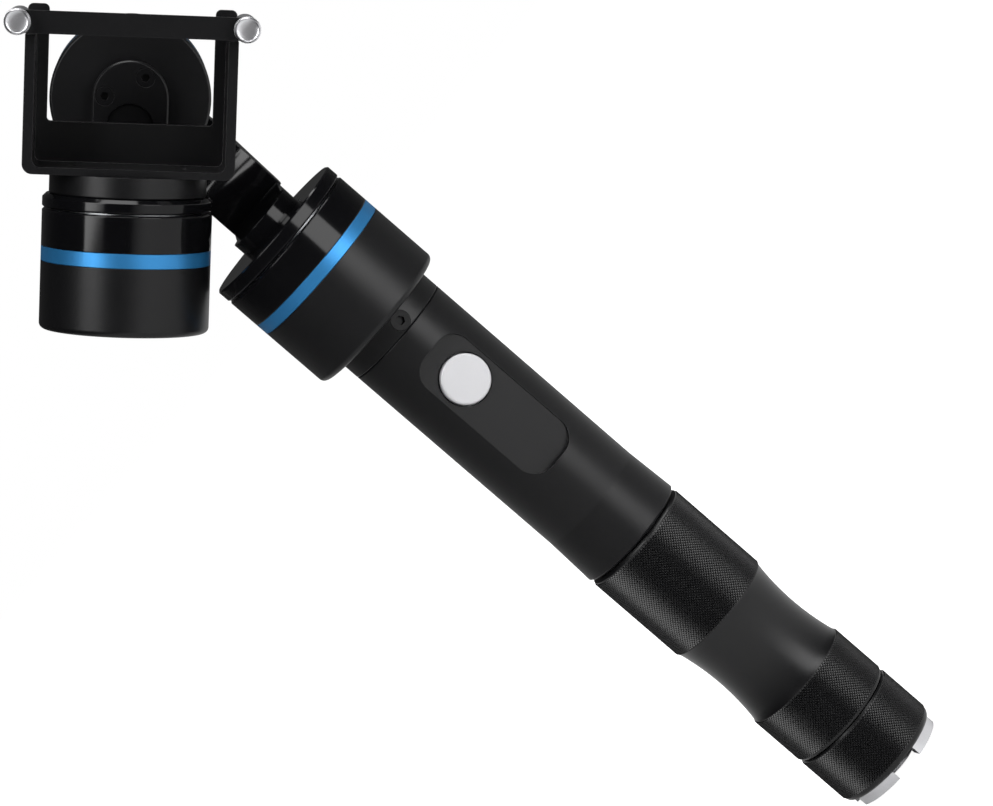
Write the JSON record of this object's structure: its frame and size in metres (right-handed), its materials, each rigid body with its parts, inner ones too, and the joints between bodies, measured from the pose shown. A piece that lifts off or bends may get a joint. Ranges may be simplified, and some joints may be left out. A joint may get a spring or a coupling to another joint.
{
  "type": "gimbal stabilizer",
  "caption": "Hand-held three-axis camera gimbal with a torch-like grip, blue-ringed motors and an open clamp tray.",
  "frame": {"origin": "centre of the tail's tripod thread, at its mouth", "axes": "+Z along the handle towards the head, -Y the front with the button and the tray's open side"},
  "size_m": [0.0815, 0.0846, 0.2582],
  "materials": {
    "matte_black": "matte anodised",
    "satin_black": "satin anodised",
    "gloss_black": "gloss",
    "blue_anodised": "satin anodised",
    "silver": "machined",
    "button_silver": "bead blasted",
    "steel": "machined",
    "black_steel": "black oxide",
    "magnet": "nickel plated",
    "copper": "enamelled copper wire",
    "brass": "polished",
    "cell_wrap": "shrink wrap",
    "circuit_board": "solder mask",
    "black_plastic": "moulded",
    "rubber": "moulded"
  },
  "bodies": {
    "handle": {"front_tube": "matte_black", "rear_tube": "matte_black", "joint_o_ring": "rubber", "battery_cell": "cell_wrap", "contact_board": "circuit_board", "control_board": "circuit_board", "button_switch": "black_plastic", "collar_screws": "black_steel", "pan_housing": "matte_black", "pan_blue_ring": "blue_anodised", "pan_cover": "gloss_black", "pan_stator": "steel", "pan_coils": "copper", "pan_bearings": "steel"},
    "tail_contact": {"tail_contact": "brass", "tail_spring": "steel"},
    "tail_cap": {"tail_cap": "matte_black", "tail_ring": "silver", "thread_insert": "silver", "tail_o_ring": "rubber"},
    "button": {"button": "button_silver"},
    "pan_body": {"pan_rotor_cap": "gloss_black", "pan_bell": "steel", "pan_magnets": "magnet", "pan_shaft": "steel", "pan_arm": "gloss_black", "pan_arm_screws": "black_steel", "roll_housing": "matte_black", "roll_blue_ring": "blue_anodised", "roll_cover": "gloss_black", "roll_stator": "steel", "roll_coils": "copper", "roll_bearings": "steel"},
    "roll_body": {"roll_rotor_cap": "gloss_black", "roll_bell": "steel", "roll_magnets": "magnet", "roll_shaft": "steel", "roll_arm": "matte_black", "arm_lid": "matte_black", "roll_arm_screws": "black_steel", "tilt_housing": "matte_black", "tilt_blue_ring": "blue_anodised", "tilt_cover": "gloss_black", "tilt_stator": "steel", "tilt_coils": "copper", "tilt_bearings": "steel"},
    "tilt_body": {"tilt_rotor_cap": "gloss_black", "tilt_bell": "steel", "tilt_magnets": "magnet", "tilt_shaft": "steel", "tilt_drum": "matte_black", "imu_board": "circuit_board", "tray_screws": "black_steel", "camera_tray": "satin_black", "tray_posts": "silver"},
    "clamp_bar": {"clamp_bar": "satin_black"},
    "left_thumb_screw": {"left_thumb_screw": "silver"},
    "right_thumb_screw": {"right_thumb_screw": "silver"}
  },
  "joints": [
    {"name": "pan", "type": "hinge", "parent": "handle", "child": "pan_body", "pos_m": [-0.00085, 0, 0.17], "axis": [0, 0, 1], "range_deg": [-160, 160]},
    {"name": "roll", "type": "hinge", "parent": "pan_body", "child": "roll_body", "pos_m": [-0.00085, 0.05, 0.2249], "axis": [0, 1, 0], "range_deg": [-2, 80]},
    {"name": "tilt", "type": "hinge", "parent": "roll_body", "child": "tilt_body", "pos_m": [-0.02416, 0, 0.20602], "axis": [0.7771, 0, 0.6293], "range_deg": [-135, 90]},
    {"name": "button_press", "type": "slide", "parent": "handle", "child": "button", "axis": [-0.1994, 0.9799, 0], "range_m": [0, 0.0006], "stiffness_N_per_m": 2000, "springref_m": -0.0005},
    {"name": "tail_cap_travel", "type": "slide", "parent": "handle", "child": "tail_contact", "axis": [0, 0, -1], "range_m": [0, 0.005]},
    {"name": "tail_cap_turn", "type": "hinge", "parent": "tail_contact", "child": "tail_cap", "pos_m": [0, 0, 0.01], "axis": [0, 0, -1], "range_deg": [0, 1800]},
    {"name": "clamp_travel", "type": "slide", "parent": "tilt_body", "child": "clamp_bar", "axis": [0, -1, 0], "range_m": [0, 0.003]},
    {"name": "left_screw_turn", "type": "hinge", "parent": "clamp_bar", "child": "left_thumb_screw", "pos_m": [-0.00225, -0.017, 0.25523], "axis": [0, -1, 0], "range_deg": [0, 2160]},
    {"name": "right_screw_turn", "type": "hinge", "parent": "clamp_bar", "child": "right_thumb_screw", "pos_m": [0.02853, -0.017, 0.21723], "axis": [0, -1, 0], "range_deg": [0, 2160]}
  ],
  "couplings": [
    {"joint": "tail_cap_turn", "follows": "tail_cap_travel", "rad_per_m": 6283.2},
    {"joint": "left_screw_turn", "follows": "clamp_travel", "rad_per_m": 12566},
    {"joint": "right_screw_turn", "follows": "clamp_travel", "rad_per_m": 12566}
  ]
}
